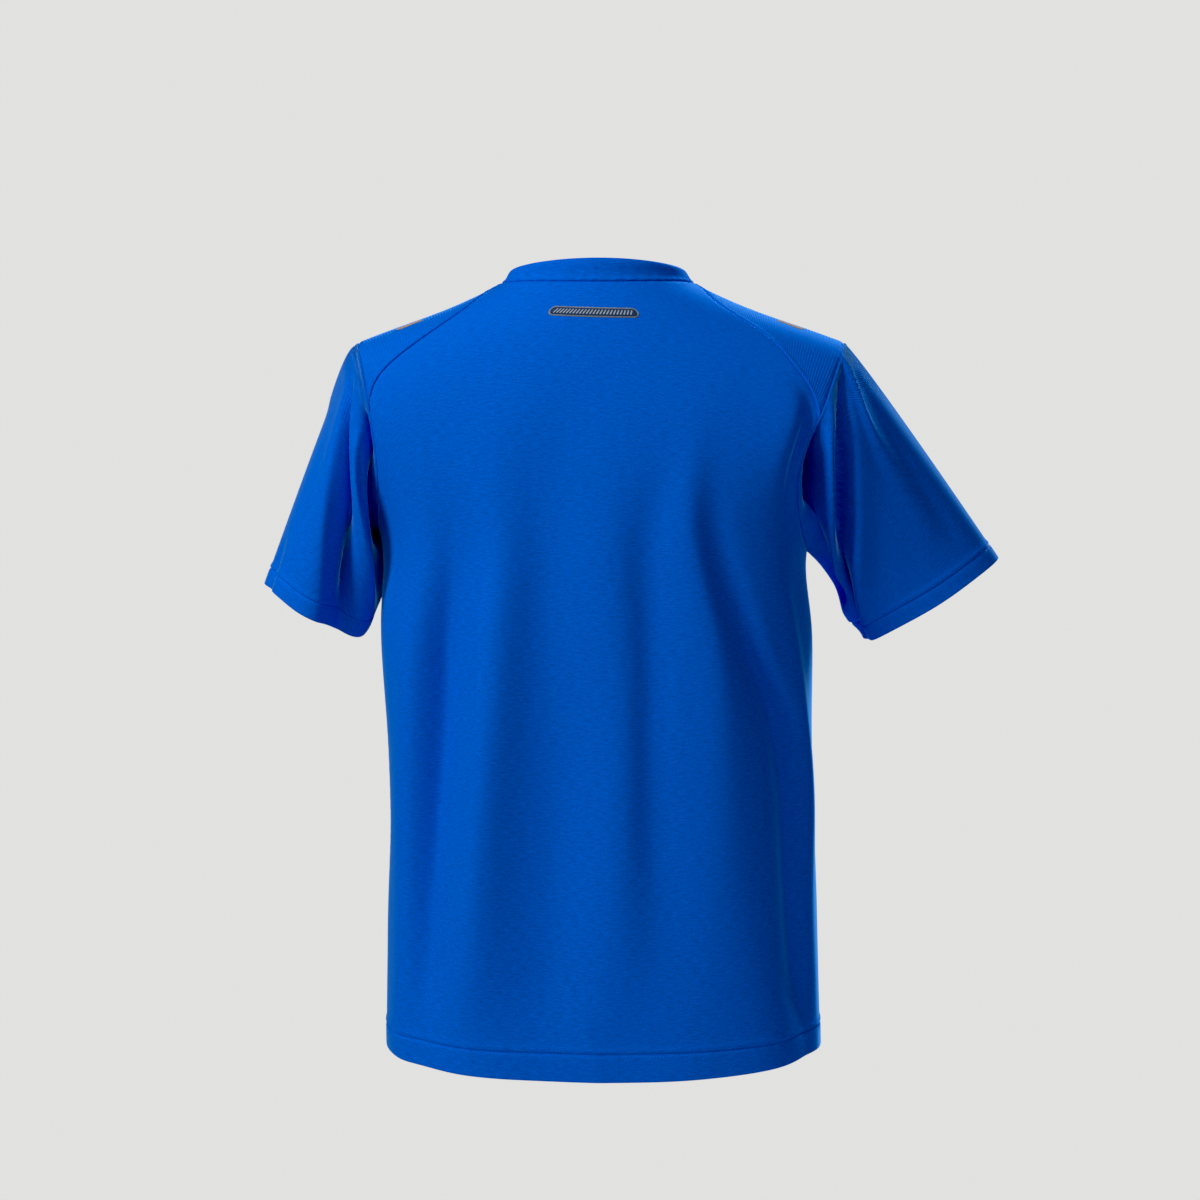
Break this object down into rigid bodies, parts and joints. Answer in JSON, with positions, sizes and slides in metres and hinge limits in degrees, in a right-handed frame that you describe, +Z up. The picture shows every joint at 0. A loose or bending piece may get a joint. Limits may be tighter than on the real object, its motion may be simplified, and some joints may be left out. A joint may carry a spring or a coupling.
{
  "type": "football jersey",
  "caption": "Short-sleeved crew-neck football jersey in knit cloth, hollow and filled out as when worn, with set-in sleeves, shoulder panels and open neck, hem and cuffs.",
  "frame": {"origin": "middle of the neck opening, level with the tops of the shoulder lines", "axes": "+Z up along the wearer, -Y the way the wearer faces, +X to the wearer's left"},
  "size_m": [0.6941, 0.2648, 0.7428],
  "materials": {
    "jersey_knit": "fine polyester knit with a soft satin sheen",
    "shoulder_knit": "finely ribbed polyester knit",
    "sleeve_knit": "fine polyester knit, ribbed near the shoulder",
    "collar_knit": "flat folded knit band",
    "patch_print": "matt heat-pressed transfer",
    "bar_print": "satin bronze heat-pressed transfer"
  },
  "bodies": {
    "root": {"back_panel": "jersey_knit", "front_panel": "jersey_knit", "shoulder_panel_left": "shoulder_knit", "shoulder_panel_right": "shoulder_knit", "sleeve_left": "sleeve_knit", "sleeve_right": "sleeve_knit", "collar": "collar_knit", "neck_patch": "patch_print", "shoulder_bar_left": "bar_print", "shoulder_bar_right": "bar_print"}
  },
  "joints": []
}
